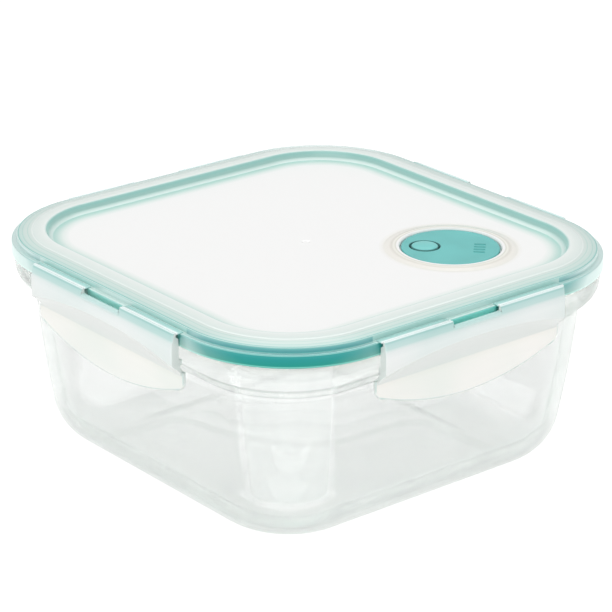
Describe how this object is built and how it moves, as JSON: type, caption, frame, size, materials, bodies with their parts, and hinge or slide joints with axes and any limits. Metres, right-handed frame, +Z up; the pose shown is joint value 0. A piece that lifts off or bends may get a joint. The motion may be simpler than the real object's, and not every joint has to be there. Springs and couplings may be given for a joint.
{
  "type": "glass food storage container",
  "caption": "square heat-proof glass food container with a vented plastic lid held down by four clip latches",
  "frame": {"origin": "centre of the underside of the glass base, on the surface it stands on", "axes": "+Z up; X and Y square to the container's sides; the front latch faces -Y and the vent lies toward the +X -Y corner"},
  "size_m": [0.1976, 0.1976, 0.0881],
  "materials": {
    "glass": "clear",
    "clear_plastic": "translucent satin",
    "teal_silicone": "satin"
  },
  "bodies": {
    "base": {"glass_base": "glass"},
    "lid": {"lid_panel": "clear_plastic", "gasket_ring": "teal_silicone", "vent_anchor": "teal_silicone", "hinge_web_front": "clear_plastic", "hinge_web_right": "clear_plastic", "hinge_web_back": "clear_plastic", "hinge_web_left": "clear_plastic"},
    "vent": {"vent_flap": "teal_silicone", "vent_plug": "teal_silicone"},
    "latch_front": {"latch_front": "clear_plastic"},
    "latch_right": {"latch_right": "clear_plastic"},
    "latch_back": {"latch_back": "clear_plastic"},
    "latch_left": {"latch_left": "clear_plastic"}
  },
  "joints": [
    {"name": "lid_lift", "type": "slide", "parent": "base", "child": "lid", "axis": [0, 0, 1], "range_m": [0, 0.12]},
    {"name": "latch_front_hinge", "type": "hinge", "parent": "lid", "child": "latch_front", "pos_m": [0, -0.09575, 0.08485], "axis": [-1, 0, 0], "range_deg": [0, 115]},
    {"name": "latch_right_hinge", "type": "hinge", "parent": "lid", "child": "latch_right", "pos_m": [0.09575, 0, 0.08485], "axis": [0, -1, 0], "range_deg": [0, 115]},
    {"name": "latch_back_hinge", "type": "hinge", "parent": "lid", "child": "latch_back", "pos_m": [0, 0.09575, 0.08485], "axis": [1, 0, 0], "range_deg": [0, 115]},
    {"name": "latch_left_hinge", "type": "hinge", "parent": "lid", "child": "latch_left", "pos_m": [-0.09575, 0, 0.08485], "axis": [0, 1, 0], "range_deg": [0, 115]},
    {"name": "vent_lift", "type": "hinge", "parent": "lid", "child": "vent", "pos_m": [0.0263, -0.0263, 0.0849], "axis": [-0.7071, -0.7071, 0], "range_deg": [0, 45]}
  ]
}
